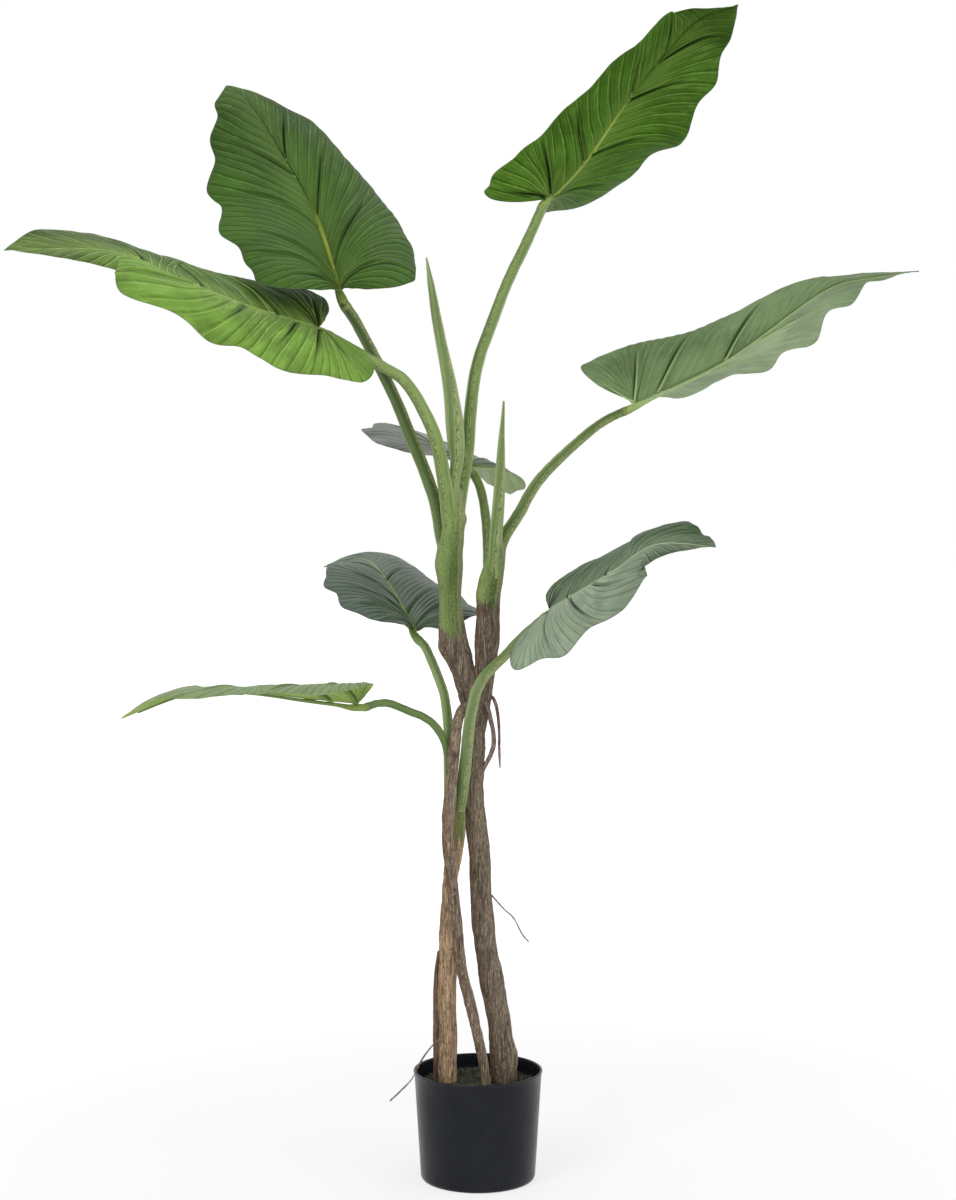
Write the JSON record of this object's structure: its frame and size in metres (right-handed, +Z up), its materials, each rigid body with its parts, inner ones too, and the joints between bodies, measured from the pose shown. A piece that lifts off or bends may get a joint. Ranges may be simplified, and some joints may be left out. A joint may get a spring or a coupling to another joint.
{
  "type": "potted philodendron",
  "caption": "Tall potted philodendron with arrow-shaped leaves on arching stalks, a forked trunk beside a lower one, climbing and aerial roots, in a plain round nursery pot.",
  "frame": {"origin": "middle of the pot's flat underside", "axes": "+Z up along the plant's height; +X to the viewer's right and -Y to the viewer, as the plant is usually shown"},
  "size_m": [1.1432, 0.8135, 1.5887],
  "materials": {
    "pot_plastic": "black, satin, with a soft broad highlight",
    "soil_mix": "dark cement-weighted fill topped with moss and grit, matt",
    "bark_main": "grey-brown bark turning green towards the top, scarred, matt",
    "bark_tan": "tan bark turning green at the top, matt",
    "root_bark": "dark brown root skin, matt",
    "spear_skin": "pale green rolled leaf, satin",
    "stalk_skin": "green ridged stalk, satin",
    "leaf_rib": "yellow-green rib, satin",
    "leaf_sheet": "green veined sheet with a paler underside, satin"
  },
  "bodies": {
    "root": {"pot": "pot_plastic", "soil": "soil_mix", "main_trunk": "bark_main", "low_trunk": "bark_tan", "climbing_root": "root_bark", "side_root": "root_bark", "aerial_root_loop": "root_bark", "aerial_root_hanging": "root_bark", "thin_root_right": "root_bark", "thin_root_left": "root_bark", "spear_tall": "spear_skin", "spear_short": "spear_skin", "stalk_top_left": "stalk_skin", "rib_top_left": "leaf_rib", "blade_top_left": "leaf_sheet", "stalk_far_left": "stalk_skin", "rib_far_left": "leaf_rib", "blade_far_left": "leaf_sheet", "stalk_top_right": "stalk_skin", "rib_top_right": "leaf_rib", "blade_top_right": "leaf_sheet", "stalk_right": "stalk_skin", "rib_right": "leaf_rib", "blade_right": "leaf_sheet", "stalk_back": "stalk_skin", "rib_back": "leaf_rib", "blade_back": "leaf_sheet", "stalk_low_right": "stalk_skin", "rib_low_right": "leaf_rib", "blade_low_right": "leaf_sheet", "stalk_mid_left": "stalk_skin", "rib_mid_left": "leaf_rib", "blade_mid_left": "leaf_sheet", "stalk_low_left": "stalk_skin", "rib_low_left": "leaf_rib", "blade_low_left": "leaf_sheet"}
  },
  "joints": []
}
